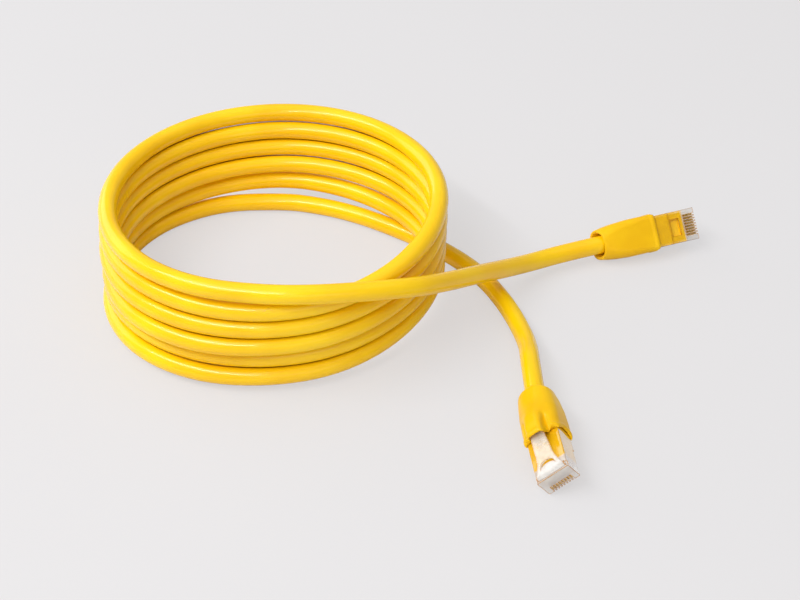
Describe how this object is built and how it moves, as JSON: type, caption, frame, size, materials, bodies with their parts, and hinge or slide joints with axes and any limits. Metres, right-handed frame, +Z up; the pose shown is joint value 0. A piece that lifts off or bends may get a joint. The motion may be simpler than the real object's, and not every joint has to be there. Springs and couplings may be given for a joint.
{
  "type": "ethernet patch cable",
  "caption": "Round yellow network patch cord wound in a stacked coil, with a moulded boot and a clear modular plug on each free end.",
  "frame": {"origin": "the middle of the coiled cable's footprint, on the floor it lies on", "axes": "+Z up from the floor; +X from the coil towards the two free ends; +Y away from the viewer of the picture"},
  "size_m": [0.2146, 0.1711, 0.0437],
  "materials": {
    "jacket_yellow": "gloss",
    "boot_yellow": "satin",
    "moulding_yellow": "gloss",
    "clear_plastic": "gloss",
    "gold_contacts": "polished",
    "separator_white": "matte",
    "wire_blue": "satin",
    "wire_orange": "satin",
    "wire_green": "satin",
    "wire_brown": "satin"
  },
  "bodies": {
    "cable": {"cable_coil": "jacket_yellow", "cable_tail_upper": "jacket_yellow", "cable_tail_lower": "jacket_yellow", "strain_relief_boot_upper": "boot_yellow", "inner_moulding_upper": "moulding_yellow", "plug_housing_upper": "clear_plastic", "contact_blades_upper": "gold_contacts", "load_bar_upper": "clear_plastic", "pair_separator_upper": "separator_white", "jacket_end_upper": "jacket_yellow", "wire_pair_blue_upper": "wire_blue", "wire_pair_orange_upper": "wire_orange", "wire_pair_green_upper": "wire_green", "wire_pair_brown_upper": "wire_brown", "strain_relief_boot_lower": "boot_yellow", "inner_moulding_lower": "moulding_yellow", "plug_housing_lower": "clear_plastic", "contact_blades_lower": "gold_contacts", "load_bar_lower": "clear_plastic", "pair_separator_lower": "separator_white", "jacket_end_lower": "jacket_yellow", "wire_pair_blue_lower": "wire_blue", "wire_pair_orange_lower": "wire_orange", "wire_pair_green_lower": "wire_green", "wire_pair_brown_lower": "wire_brown"},
    "latch_upper": {"latch_upper": "clear_plastic"},
    "latch_lower": {"latch_lower": "clear_plastic"}
  },
  "joints": [
    {"name": "latch_hinge_upper", "type": "hinge", "parent": "cable", "child": "latch_upper", "pos_m": [0.10341, 0.05093, 0.00609], "axis": [0.2263, -0.603, -0.765], "range_deg": [-9.5, 0], "stiffness_Nm_per_rad": 0.02},
    {"name": "latch_hinge_lower", "type": "hinge", "parent": "cable", "child": "latch_lower", "pos_m": [0.04328, -0.08398, 0.00957], "axis": [0.7648, 0.0584, 0.6416], "range_deg": [-9.5, 0], "stiffness_Nm_per_rad": 0.02}
  ]
}
